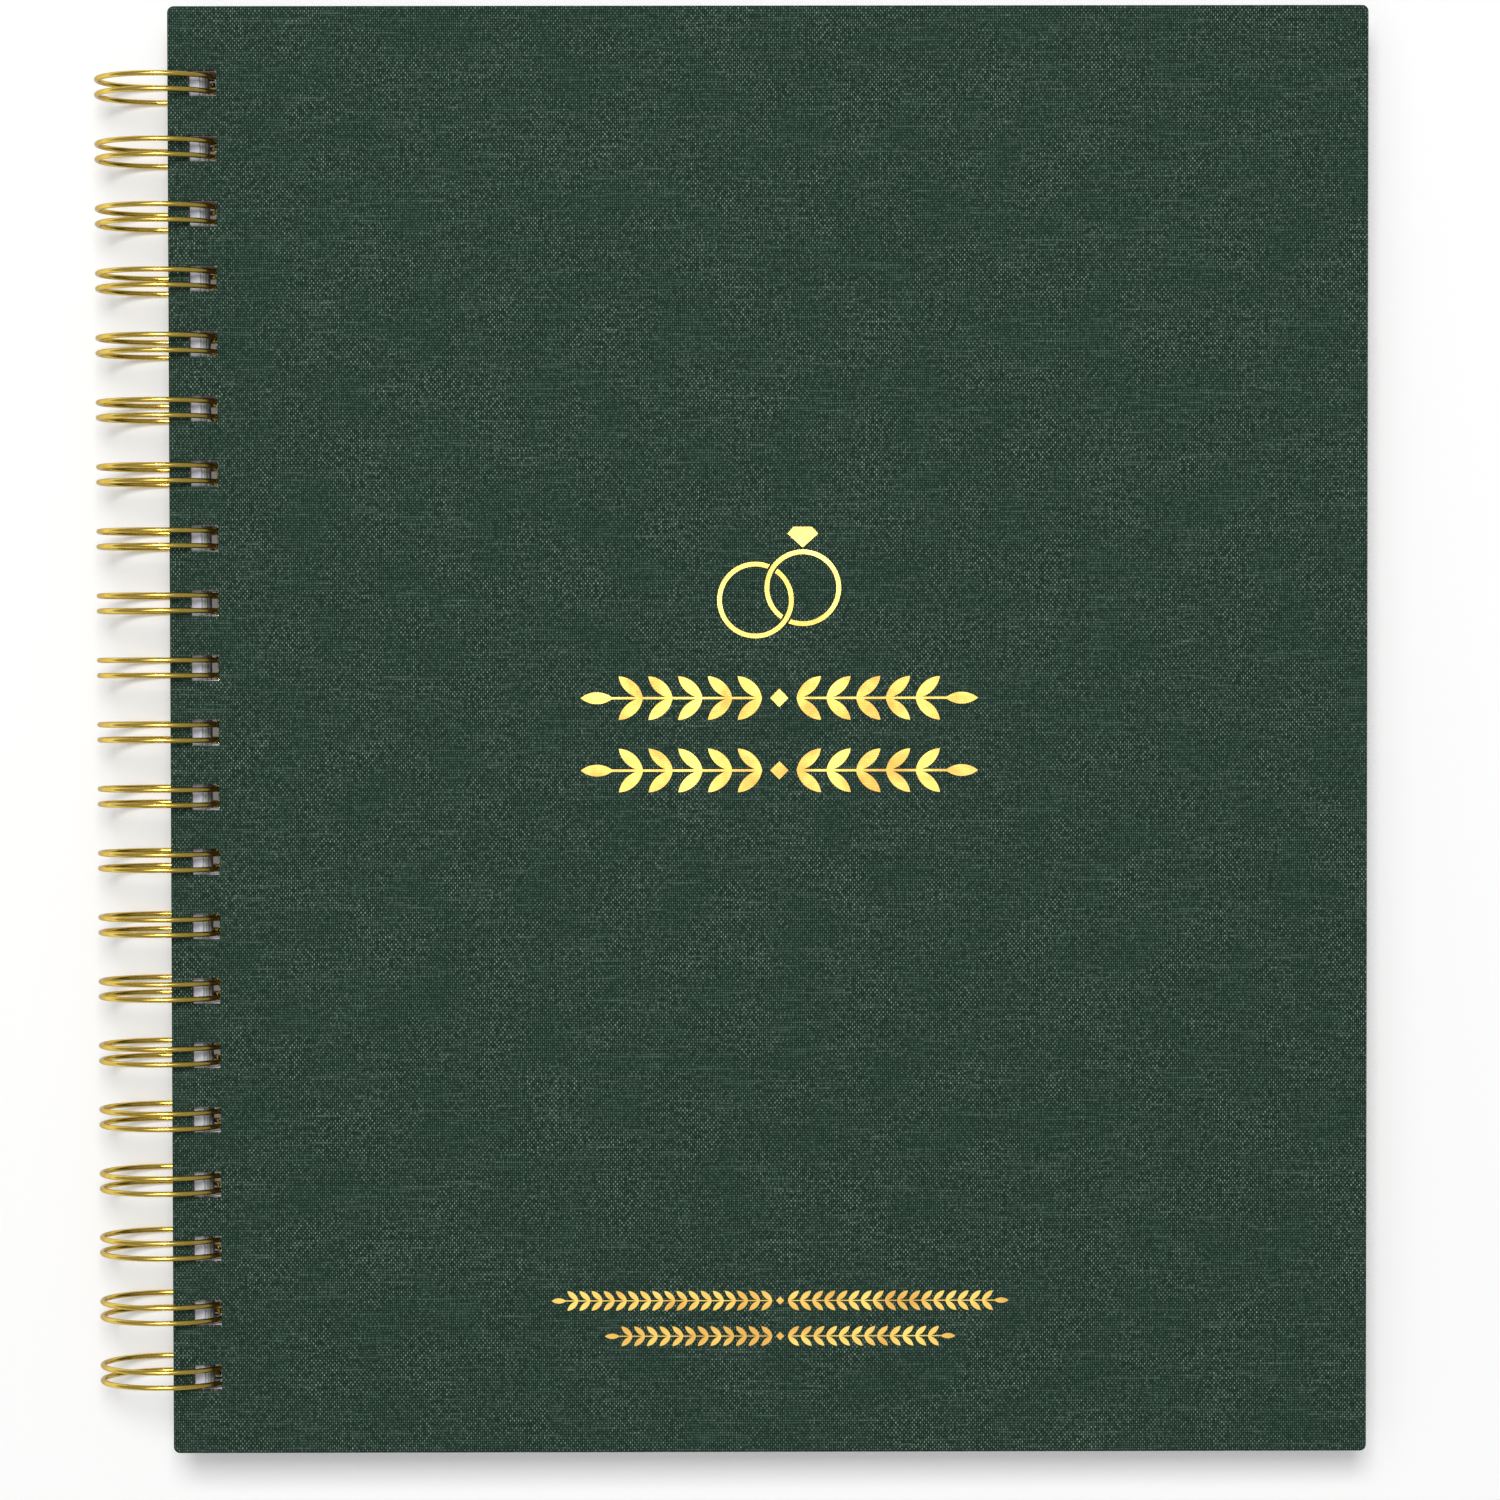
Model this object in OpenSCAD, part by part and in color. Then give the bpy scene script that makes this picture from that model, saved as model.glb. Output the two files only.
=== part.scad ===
// Hardback wedding planner, twin-loop wire bound, lying closed with its front cover up.
// X runs from the wire towards the fore edge, Y along the spine towards the head, Z up.
// The origin is at the middle of the base of the bounding box. The book leans a little
// towards its fore edge: it rests on the foot of the rings and on the edge of the back cover.

/* [Covers] */
// Width of each cover, spine edge to fore edge
cover_w = 235; // [190:1:300]
// Height of each cover, along the spine
cover_h = 284; // [150:1:340]
// Thickness of the board inside each cover
board_t = 1.9; // [1.5:0.1:2.5]
// Thickness of the book cloth wrapped round each board
cloth_t = 0.25; // [0.2:0.05:0.5]
// Width of the cloth turned in over the inner face of the board
turn_in = 16; // [12:1:25]
// Thickness of the endpaper that hides the turn-ins
endpaper_t = 0.15; // [0.1:0.05:0.3]
// How far the endpaper stays inside the edge of its cover
endpaper_inset = 3; // [2:0.5:3.5]
// Corner radius of the covers
corner_r = 1.2; // [0.5:0.1:5]

/* [Pages] */
// Number of page sections, one more than the tabbed dividers
sections = 7; // [3:1:9]
// Sheets in one section
sheets = 15; // [8:1:20]
// Thickness of one sheet
sheet_t = 0.1; // [0.08:0.01:0.15]
// Thickness of a divider card
divider_t = 0.35; // [0.2:0.05:0.6]
// How far the covers stand past the sheets at head and tail
head_overhang = 2.3; // [1:0.1:5]
// How far the front cover stands past the tabs at the fore edge
fore_overhang = 5.2; // [2:0.1:12]
// How far the sheets stay inside the front cover at the spine
spine_inset = 0.9; // [0:0.1:1.5]

/* [Tabs] */
// How far a tab stands out from the sheets
tab_w = 13; // [8:0.5:18]
// Gap between neighbouring tabs, along the fore edge
tab_gap = 5; // [2:0.5:12]
// Distance from the first tab to the head of the sheets
tab_end = 7; // [3:0.5:15]
// Corner radius of a tab
tab_r = 3; // [1:0.5:5]
// Thickness of the film laminated round a tab
film_t = 0.1; // [0.05:0.01:0.2]

/* [Binding] */
// Spacing of the twin loops along the spine, two to the inch
pitch = 12.7; // [12.7:0.1:14]
// Diameter of the wire
wire_d = 1.05; // [0.9:0.05:1.3]
// Spacing of the two wires of one loop, centre to centre
twin_gap = 3; // [2.6:0.1:3.6]
// How much wider the rings are inside than the book is thick
ring_slack = 4.85; // [4.5:0.05:8]
// How far the book hangs below the middle of the rings
ring_drop = 1; // [0.4:0.1:1]
// Spine edge of the front cover to its slots
slot_margin = 4.1; // [4:0.1:6]
// Least distance from the end of the sheets to the middle of a slot
slot_end = 12; // [8:0.5:20]
// Play between a wire and the side of its slot
slot_play = 0.55; // [0.3:0.05:0.8]
// Running clearance between a ring and the walls of a slot
ring_fit = 0.24; // [0.2:0.02:0.4]
// Gap between a ring and the far wall of the page slots
ring_gap = 1.6; // [1:0.1:2.5]
// Radius of the bends where the wire runs from loop to loop
bend_r = 0.9; // [0.8:0.05:1]
// Clearance above and below the bars that join the loops
bar_play = 0.2; // [0.15:0.05:0.4]
// Distance along the ring from the bars to the tips of the loops
tip_gap = 0.5; // [0.45:0.05:1]

/* [Pocket] */
// Height of the pocket inside the back cover
pocket_h = 175; // [90:1:200]
// Thickness of the pocket's card
card_t = 0.4; // [0.3:0.05:0.6]
// Width of the folded gussets that carry the panel
gusset_w = 9; // [5:0.5:15]
// Gap between the slots and the pocket
pocket_gap = 5; // [3:0.5:15]
// Radius of the thumb notch in the mouth of the pocket
notch_r = 12; // [8:1:18]

/* [Foil] */
// Thickness of the stamped foil
foil_t = 0.05; // [0.03:0.01:0.1]
// How far the stamping sits from the middle of the cover, towards the fore edge
foil_x = 2; // [-10:0.5:10]
// Height of the ring emblem above the middle of the cover
emblem_y = 27; // [20:0.5:40]
// Outer diameter of each ring of the emblem
emblem_d = 15; // [10:0.5:20]
// Width of the emblem's lines
emblem_line = 0.9; // [0.5:0.1:1.5]
// Height of the upper garland above the middle of the cover
garland_y = 6.6; // [0:0.1:12]
// Length of each garland
garland_l = 78; // [50:1:110]
// Distance between the two garlands
garland_pitch = 14.2; // [12:0.1:20]
// Length of a garland leaf
leaf_l = 6.4; // [4:0.1:8]
// Height of the upper caption line above the tail of the cover
caption_y = 30; // [20:0.5:50]
// Length of the upper caption line
caption_l = 90; // [60:1:120]
// Distance between the two caption lines
caption_pitch = 7; // [5:0.5:10]
// Length of a caption leaf
caption_leaf_l = 2.9; // [2:0.1:4]

/* [Hidden] */
$fn = 48;
// Overshoot of a cutting shape past the face that it cuts
cut = 1;
// Share by which the bead at each bend is wider than the wire, and the gap that it bridges
bead = 1.05;
bead_gap = 0.04;

dividers = sections - 1;
section_t = sheets * sheet_t;
stack_t = sections * section_t + dividers * divider_t;
cover_t = 2 * cloth_t + board_t + endpaper_t;
pocket_t = wire_d + 2 * bar_play;
book_t = 2 * cover_t + pocket_t + stack_t;

// The rings, sized from the thickness of the book, about an axis along the spine
ring_in_r = (book_t + ring_slack) / 2;
ring_r = ring_in_r + wire_d / 2;
ring_out_r = ring_in_r + wire_d;
slot_h = twin_gap + wire_d + 2 * slot_play;

// Heights, from the axis of the rings
back_z = -book_t / 2 - ring_drop;
pocket_z = back_z + cover_t;
stack_z = pocket_z + pocket_t;
front_z = stack_z + stack_t;
top_z = front_z + cover_t;

// How far from the axis the walls of a slot must be, in a leaf between heights z0 and z1
function near_max(z0, z1) = sqrt(pow(ring_in_r - ring_fit, 2) - pow(max(abs(z0), abs(z1)), 2));
function far_min(z0, z1) = sqrt(pow(ring_out_r + ring_fit, 2) - pow(min(abs(z0), abs(z1)), 2));

// Width of a punched slot, square to the spine, for the tighter of the covers
slot_w = max(far_min(back_z, pocket_z) - near_max(back_z, pocket_z),
    far_min(front_z, top_z) - near_max(front_z, top_z)) + 0.04;

// The covers hang with the far walls of their slots against the rings, the sheets farther in
front_x = far_min(front_z, top_z) - slot_w - slot_margin;
back_x = far_min(back_z, pocket_z) - slot_w - slot_margin;
leaf_x = ring_out_r + ring_gap - slot_w - slot_margin;
function set_in(z0, z1) = max(0, slot_margin + leaf_x - near_max(z0, z1));

// The lean that brings the back cover's fore edge down to the foot of the rings
back_edge = [back_x + cover_w, -back_z];
lean = asin(ring_out_r / norm(back_edge)) - atan2(back_edge[1], back_edge[0]);
ring_x = (ring_out_r - (front_x + cover_w) * cos(lean) - top_z * sin(lean)) / 2;
ring_z = ring_out_r;

page_w = cover_w - spine_inset - tab_w - fore_overhang;
page_h = cover_h - 2 * head_overhang;
loops = floor((page_h - 2 * slot_end) / pitch) + 1;
pocket_w = spine_inset + page_w - slot_margin - slot_w - pocket_gap;
tab_h = (page_h - 2 * tab_end - (dividers - 1) * tab_gap) / dividers;

// Where the bars lie round the rings, and where the tips of the loops end beside them
bar_z = pocket_z + pocket_t / 2;
root_a = 360 + asin(bar_z / norm([ring_r, bend_r])) - atan2(bend_r, ring_r);
tip_a = root_a - 360 + (bend_r + tip_gap + twin_gap / 2) / ring_r * 180 / PI;

PAGES = [for (i = [1:sections]) str("pages_", i)];
DIVIDERS = [for (i = [1:dividers]) str("divider_", i)];
FILMS = [for (i = [1:dividers]) str("tab_film_", i)];

function loop_y(k) = (k - (loops - 1) / 2) * pitch;

// ---- outlines ----

module rounded(x0, y0, x1, y1, r) {
    translate([x0 + r, y0]) square([x1 - x0 - 2 * r, y1 - y0]);
    translate([x0, y0 + r]) square([x1 - x0, y1 - y0 - 2 * r]);
    for (x = [x0 + r, x1 - r], y = [y0 + r, y1 - r]) translate([x, y]) circle(r);
}

// The row of slots, their near walls at x
module slots(x) {
    for (k = [0:loops - 1]) translate([x, loop_y(k) - slot_h / 2]) square([slot_w, slot_h]);
}

module cover_outline(inset) {
    rounded(inset, inset - cover_h / 2, cover_w - inset, cover_h / 2 - inset, max(corner_r - inset, 0.2));
}

// The part of the board's inner face that the turn-ins leave bare
module window() {
    translate([turn_in, turn_in - cover_h / 2]) square([cover_w - 2 * turn_in, cover_h - 2 * turn_in]);
}

module sheet_outline() {
    difference() {
        translate([spine_inset, -page_h / 2]) square([page_w, page_h]);
        slots(slot_margin);
    }
}

// A tab's outline, grown by g on its three free sides; it starts inside the sheet by root
module tab_outline(i, g, root) {
    x0 = spine_inset + page_w;
    y1 = page_h / 2 - tab_end - (i - 1) * (tab_h + tab_gap);
    intersection() {
        rounded(x0 - tab_w, y1 - tab_h - g, x0 + tab_w + g, y1 + g, tab_r + g);
        translate([x0 - root, y1 - tab_h - cut]) square([tab_w + root + cut, tab_h + 2 * cut]);
    }
}

// Places what is drawn about the axis of the rings in the frame of the book
module book() {
    translate([ring_x, 0, ring_z]) rotate([0, lean, 0]) children();
}

// ---- one cover, its outer face down at z = 0 ----

module cover_cloth() {
    difference() {
        linear_extrude(board_t + 2 * cloth_t) difference() {
            cover_outline(0);
            slots(slot_margin);
        }
        translate([0, 0, cloth_t]) linear_extrude(board_t) cover_outline(cloth_t);
        translate([0, 0, cloth_t + board_t / 2]) linear_extrude(board_t) window();
    }
}

module cover_board() {
    translate([0, 0, cloth_t]) linear_extrude(board_t) difference() {
        cover_outline(cloth_t);
        slots(slot_margin);
    }
}

module cover_endpaper() {
    translate([0, 0, cloth_t + board_t]) linear_extrude(cloth_t) window();
    translate([0, 0, 2 * cloth_t + board_t]) linear_extrude(endpaper_t) difference() {
        translate([endpaper_inset, endpaper_inset - cover_h / 2])
            square([cover_w - 2 * endpaper_inset, cover_h - 2 * endpaper_inset]);
        slots(slot_margin);
    }
}

module at_front() {
    book() translate([front_x, 0, top_z]) mirror([0, 0, 1]) children();
}

module at_back() {
    book() translate([back_x, 0, back_z]) children();
}

module at_leaf(z, t) {
    book() translate([leaf_x - set_in(z, z + t), 0, z]) children();
}

// ---- front cover ----

module front_board() {
    color("tan") at_front() cover_board();
}

module front_cloth() {
    color([0.10, 0.17, 0.14]) at_front() cover_cloth();
}

module front_endpaper() {
    color("ivory") at_front() cover_endpaper();
}

// ---- foil stamping ----

module at_foil(y) {
    book() translate([front_x + cover_w / 2 + foil_x, y, top_z]) linear_extrude(foil_t) children();
}

// A pointed leaf from the origin along +X, bounded by two arcs
module leaf(l, w) {
    r = (l * l + w * w) / (4 * w);
    intersection() {
        translate([l / 2, r - w / 2]) circle(r, $fn = 96);
        translate([l / 2, w / 2 - r]) circle(r, $fn = 96);
    }
}

// A sprig from the origin along +X: a stem with leaves in pairs and one at its end
module sprig(length, leaf_l) {
    leaf_w = leaf_l * 0.36;
    stem_w = leaf_l * 0.07;
    pairs = floor((length - leaf_l) / (leaf_l * 0.8));
    step = (length - leaf_l) / pairs;
    translate([0, -stem_w / 2]) square([length - leaf_l / 2, stem_w]);
    translate([length - leaf_l, 0]) leaf(leaf_l, leaf_w);
    for (i = [0:pairs - 1], side = [-1, 1])
        translate([i * step, 0]) rotate(side * 42) leaf(leaf_l, leaf_w);
}

// Two sprigs growing apart from a lozenge
module garland(length, leaf_l) {
    gem = leaf_l * 0.28;
    rotate(45) square(gem * sqrt(2), center = true);
    for (side = [0, 1]) mirror([side, 0]) translate([gem * 1.9, 0]) sprig(length / 2 - gem * 1.9, leaf_l);
}

module band(grow) {
    difference() {
        circle(emblem_d / 2 + grow, $fn = 96);
        circle(emblem_d / 2 - emblem_line - grow, $fn = 96);
    }
}

// Two linked finger rings, one with a cut stone
module foil_emblem() {
    shift = [emblem_d * 0.31, emblem_d * 0.08];
    gap = emblem_line * 0.45;
    stone = emblem_d * 0.2;
    color("gold") at_foil(emblem_y) {
        difference() {
            translate(-shift) band(0);
            intersection() {
                translate(shift) band(gap);
                translate([-emblem_d, 0]) square([2 * emblem_d, emblem_d]);
            }
        }
        difference() {
            translate(shift) band(0);
            intersection() {
                translate(-shift) band(gap);
                translate([-emblem_d, -emblem_d]) square([2 * emblem_d, emblem_d]);
            }
        }
        translate(shift + [0, emblem_d / 2 + gap])
            polygon(stone * [[0, 0], [1, 0.9], [0.6, 1.35], [-0.6, 1.35], [-1, 0.9]]);
    }
}

module foil_garlands() {
    color("gold") for (row = [0, 1])
        at_foil(garland_y - row * garland_pitch) rotate(180 * row) garland(garland_l, leaf_l);
}

module foil_caption() {
    color("gold") for (row = [0, 1])
        at_foil(caption_y - cover_h / 2 - row * caption_pitch)
            garland(caption_l - row * 3 * caption_pitch, caption_leaf_l);
}

// ---- back cover ----

module back_board() {
    color("tan") at_back() cover_board();
}

module back_cloth() {
    color([0.10, 0.17, 0.14]) at_back() cover_cloth();
}

module back_endpaper() {
    color("ivory") at_back() cover_endpaper();
}

// The pocket, from past the slots to the end of the sheets, drawn at the tail
module at_pocket(z) {
    book() translate([leaf_x + slot_margin + slot_w + pocket_gap, -page_h / 2, z]) children();
}

module pocket_gusset() {
    color("ivory") at_pocket(pocket_z) linear_extrude(pocket_t - card_t) {
        for (x = [0, pocket_w - gusset_w]) translate([x, gusset_w]) square([gusset_w, pocket_h - gusset_w]);
        square([pocket_w, gusset_w]);
    }
}

module pocket_panel() {
    color("ivory") at_pocket(stack_z - card_t) linear_extrude(card_t) difference() {
        square([pocket_w, pocket_h]);
        translate([pocket_w / 2, pocket_h]) circle(notch_r);
    }
}

// ---- leaves, numbered from the front ----

function pages_z(i) = front_z - i * section_t - (i - 1) * divider_t;
function divider_z(i) = pages_z(i) - divider_t;

module pages(i) {
    color("white") at_leaf(pages_z(i), section_t) linear_extrude(section_t) sheet_outline();
}

module divider(i) {
    color("beige") at_leaf(divider_z(i), divider_t) linear_extrude(divider_t) {
        sheet_outline();
        tab_outline(i, 0, tab_w / 2);
    }
}

// Film folded over both faces and round the edge of a tab
module tab_film(i) {
    root = -film_t;
    color("darkseagreen") at_leaf(divider_z(i), divider_t) difference() {
        translate([0, 0, -film_t]) linear_extrude(divider_t + 2 * film_t) tab_outline(i, film_t, root);
        linear_extrude(divider_t) tab_outline(i, 0, tab_w / 2);
    }
}

// ---- twin-loop wire ----

// Stands on the ring at angle a, with X along the spine and Y onwards round the ring
module on_ring(a, y) {
    translate([0, y, 0]) rotate([0, -a, 0]) translate([ring_r, 0, 0]) rotate([90, 0, 90]) children();
}

// A length of wire bent round the origin at radius r, from angle a0 to a1
module bent(r, a0, a1) {
    trim = bead_gap / r * 90 / PI;
    rotate([0, 0, a0 + trim]) rotate_extrude(angle = a1 - a0 - 2 * trim) translate([r, 0]) circle(d = wire_d);
}

module bead() {
    sphere(d = wire_d * bead);
}

module ring(y) {
    translate([0, y, 0]) rotate([90, 0, 0]) bent(ring_r, tip_a, root_a);
}

// The closed tip that joins the two rings of loop k
module tip(k) {
    on_ring(tip_a, loop_y(k)) {
        bent(twin_gap / 2, 180, 360);
        for (side = [-1, 1]) translate([side * twin_gap / 2, 0, 0]) bead();
    }
}

// The bends and bar that lead from loop k to the next one
module bridge(k) {
    span = pitch - twin_gap;
    on_ring(root_a, loop_y(k) + twin_gap / 2) {
        translate([bend_r, 0, 0]) bent(bend_r, 90, 180);
        translate([span - bend_r, 0, 0]) bent(bend_r, 0, 90);
        translate([bend_r + bead_gap / 2, bend_r, 0]) rotate([0, 90, 0])
            cylinder(d = wire_d, h = span - 2 * bend_r - bead_gap);
        for (x = [0, span]) translate([x, 0, 0]) bead();
        for (x = [bend_r, span - bend_r]) translate([x, bend_r, 0]) bead();
    }
}

module wire_binding() {
    color("gold") book() {
        for (k = [0:loops - 1]) {
            for (side = [-1, 1]) ring(loop_y(k) + side * twin_gap / 2);
            tip(k);
        }
        for (k = [0:loops - 2]) bridge(k);
    }
}

// ---- output ----

front_board();
front_cloth();
front_endpaper();
foil_emblem();
foil_garlands();
foil_caption();
back_board();
back_cloth();
back_endpaper();
pocket_gusset();
pocket_panel();
wire_binding();
for (i = [1:sections]) pages(i);
for (i = [1:dividers]) divider(i);
for (i = [1:dividers]) tab_film(i);
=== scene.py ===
"""Looks of a cloth-bound wedding planner on a twin-loop wire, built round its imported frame.

The planner lies closed with its front cover up. Every part is drawn about the axis of the
rings, with X towards the fore edge, Y towards the head and Z up, and is then laid on the
table by one matrix. All sizes are in metres.
"""

import logging
import math
import random
from dataclasses import dataclass, field
from enum import Enum

import bmesh
import bpy
from mathutils import Matrix, Vector


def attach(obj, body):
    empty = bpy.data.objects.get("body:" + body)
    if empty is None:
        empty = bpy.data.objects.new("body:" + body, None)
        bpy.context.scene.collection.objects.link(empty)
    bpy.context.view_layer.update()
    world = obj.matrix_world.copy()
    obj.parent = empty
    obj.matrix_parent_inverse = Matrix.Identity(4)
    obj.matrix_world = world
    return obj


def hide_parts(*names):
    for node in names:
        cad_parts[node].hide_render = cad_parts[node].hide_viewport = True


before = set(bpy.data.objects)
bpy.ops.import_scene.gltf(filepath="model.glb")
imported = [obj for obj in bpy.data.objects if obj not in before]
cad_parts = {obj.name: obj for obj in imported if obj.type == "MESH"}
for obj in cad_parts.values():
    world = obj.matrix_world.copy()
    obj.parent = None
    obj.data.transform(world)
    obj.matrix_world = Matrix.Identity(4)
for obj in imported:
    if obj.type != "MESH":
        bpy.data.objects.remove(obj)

log = logging.getLogger("planner")
MM = 0.001
Colour = tuple[float, float, float]
Span = tuple[float, float]
Socket = bpy.types.NodeSocket


# ---------------------------------------------------------------- sizes


@dataclass(frozen=True)
class Layout:
    """The driving sizes of the planner and what follows from them."""

    cover_w: float = 235 * MM
    cover_h: float = 284 * MM
    board_t: float = 1.9 * MM
    cloth_t: float = 0.25 * MM
    turn_in: float = 16 * MM
    endpaper_t: float = 0.15 * MM
    corner_r: float = 1.2 * MM
    sections: int = 7
    sheets: int = 15
    sheet_t: float = 0.1 * MM
    divider_t: float = 0.35 * MM
    head_overhang: float = 2.3 * MM
    fore_overhang: float = 5.2 * MM
    spine_inset: float = 0.9 * MM
    tab_w: float = 13 * MM
    tab_gap: float = 5 * MM
    tab_end: float = 7 * MM
    tab_r: float = 3 * MM
    pitch: float = 12.7 * MM
    wire_d: float = 1.05 * MM
    twin_gap: float = 3 * MM
    ring_slack: float = 4.85 * MM
    ring_drop: float = 1 * MM
    slot_margin: float = 4.1 * MM
    slot_end: float = 12 * MM
    slot_play: float = 0.55 * MM
    ring_fit: float = 0.24 * MM
    ring_gap: float = 1.6 * MM
    bend_r: float = 0.9 * MM
    bar_play: float = 0.2 * MM
    tip_gap: float = 0.5 * MM

    @property
    def cover_t(self) -> float:
        """Thickness of a whole cover."""
        return 2 * self.cloth_t + self.board_t + self.endpaper_t

    @property
    def section_t(self) -> float:
        """Thickness of one section of sheets."""
        return self.sheets * self.sheet_t

    @property
    def pocket_t(self) -> float:
        """Depth of the pocket, which leaves room for the bars of the wire."""
        return self.wire_d + 2 * self.bar_play

    @property
    def stack_t(self) -> float:
        """Thickness of all the sections and dividers."""
        return self.sections * self.section_t + (self.sections - 1) * self.divider_t

    @property
    def book_t(self) -> float:
        """Thickness of the closed book."""
        return 2 * self.cover_t + self.pocket_t + self.stack_t

    @property
    def ring_in(self) -> float:
        """Inner radius of the rings."""
        return (self.book_t + self.ring_slack) / 2

    @property
    def ring_r(self) -> float:
        """Radius of the rings' centre line."""
        return self.ring_in + self.wire_d / 2

    @property
    def ring_out(self) -> float:
        """Outer radius of the rings."""
        return self.ring_in + self.wire_d

    @property
    def slot_h(self) -> float:
        """Height of a slot along the spine."""
        return self.twin_gap + self.wire_d + 2 * self.slot_play

    @property
    def back_z(self) -> float:
        """Outer face of the back cover."""
        return -self.book_t / 2 - self.ring_drop

    @property
    def pocket_z(self) -> float:
        """Inner face of the back cover."""
        return self.back_z + self.cover_t

    @property
    def stack_z(self) -> float:
        """Underside of the last sheet."""
        return self.pocket_z + self.pocket_t

    @property
    def front_z(self) -> float:
        """Inner face of the front cover."""
        return self.stack_z + self.stack_t

    @property
    def top_z(self) -> float:
        """Outer face of the front cover."""
        return self.front_z + self.cover_t

    def near_max(self, low: float, high: float) -> float:
        """How far out the near wall of a slot may be.

        Args:
            low: lower face of the leaf.
            high: upper face of the leaf.

        Returns:
            The distance from the rings' axis.
        """
        reach = max(abs(low), abs(high))
        return math.sqrt((self.ring_in - self.ring_fit) ** 2 - reach**2)

    def far_min(self, low: float, high: float) -> float:
        """How near the far wall of a slot may be.

        Args:
            low: lower face of the leaf.
            high: upper face of the leaf.

        Returns:
            The distance from the rings' axis.
        """
        reach = min(abs(low), abs(high))
        return math.sqrt((self.ring_out + self.ring_fit) ** 2 - reach**2)

    @property
    def slot_w(self) -> float:
        """Width of a slot, square to the spine."""
        back = (self.back_z, self.pocket_z)
        front = (self.front_z, self.top_z)
        return max(self.far_min(*s) - self.near_max(*s) for s in (back, front)) + 0.04 * MM

    @property
    def front_x(self) -> float:
        """Spine edge of the front cover."""
        return self.far_min(self.front_z, self.top_z) - self.slot_w - self.slot_margin

    @property
    def back_x(self) -> float:
        """Spine edge of the back cover."""
        return self.far_min(self.back_z, self.pocket_z) - self.slot_w - self.slot_margin

    @property
    def leaf_x(self) -> float:
        """Where a leaf's slots are a slot's margin in from."""
        return self.ring_out + self.ring_gap - self.slot_w - self.slot_margin

    @property
    def page_w(self) -> float:
        """Width of a sheet."""
        return self.cover_w - self.spine_inset - self.tab_w - self.fore_overhang

    @property
    def page_h(self) -> float:
        """Height of a sheet."""
        return self.cover_h - 2 * self.head_overhang

    @property
    def loops(self) -> int:
        """Number of twin loops."""
        return math.floor((self.page_h - 2 * self.slot_end) / self.pitch) + 1

    @property
    def tab_h(self) -> float:
        """Height of a tab along the fore edge."""
        dividers = self.sections - 1
        return (self.page_h - 2 * self.tab_end - (dividers - 1) * self.tab_gap) / dividers

    @property
    def lean(self) -> float:
        """Angle by which the book leans towards its fore edge."""
        edge = self.back_x + self.cover_w
        return math.asin(self.ring_out / math.hypot(edge, self.back_z)) - math.atan2(-self.back_z, edge)

    def loop_y(self, index: int) -> float:
        """Where a twin loop stands along the spine.

        Args:
            index: its number, counted from the tail.

        Returns:
            Its middle.
        """
        return (index - (self.loops - 1) / 2) * self.pitch

    def slots(self, edge: float) -> list["Box"]:
        """The slots of a leaf.

        Args:
            edge: the spine edge that the slots' margin is counted from.

        Returns:
            One rectangle for each slot.
        """
        left = edge + self.slot_margin
        half = self.slot_h / 2
        middles = (self.loop_y(k) for k in range(self.loops))
        return [Box(left, left + self.slot_w, y - half, y + half) for y in middles]

    def pages_z(self, index: int) -> float:
        """Underside of a section.

        Args:
            index: its number, counted from 1 at the front.

        Returns:
            Its height from the rings' axis.
        """
        return self.front_z - index * self.section_t - (index - 1) * self.divider_t

    def laid(self) -> Matrix:
        """The matrix that lays the book on the table."""
        right = (self.front_x + self.cover_w) * math.cos(self.lean) + self.top_z * math.sin(self.lean)
        place = Matrix.Translation(((self.ring_out - right) / 2, 0, self.ring_out))
        return place @ Matrix.Rotation(self.lean, 4, "Y")


@dataclass(frozen=True)
class Box:
    """A rectangle in the plane of a leaf."""

    left: float
    right: float
    low: float
    high: float

    def holds(self, point: Vector) -> bool:
        """Whether the rectangle holds a point.

        Args:
            point: the point.

        Returns:
            True where it lies inside.
        """
        return self.left < point.x < self.right and self.low < point.y < self.high

    def shrunk(self, margin: float) -> "Box":
        """The rectangle, drawn in on all sides.

        Args:
            margin: how far.

        Returns:
            The smaller rectangle.
        """
        return Box(self.left + margin, self.right - margin, self.low + margin, self.high - margin)


# ---------------------------------------------------------------- finishes


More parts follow.
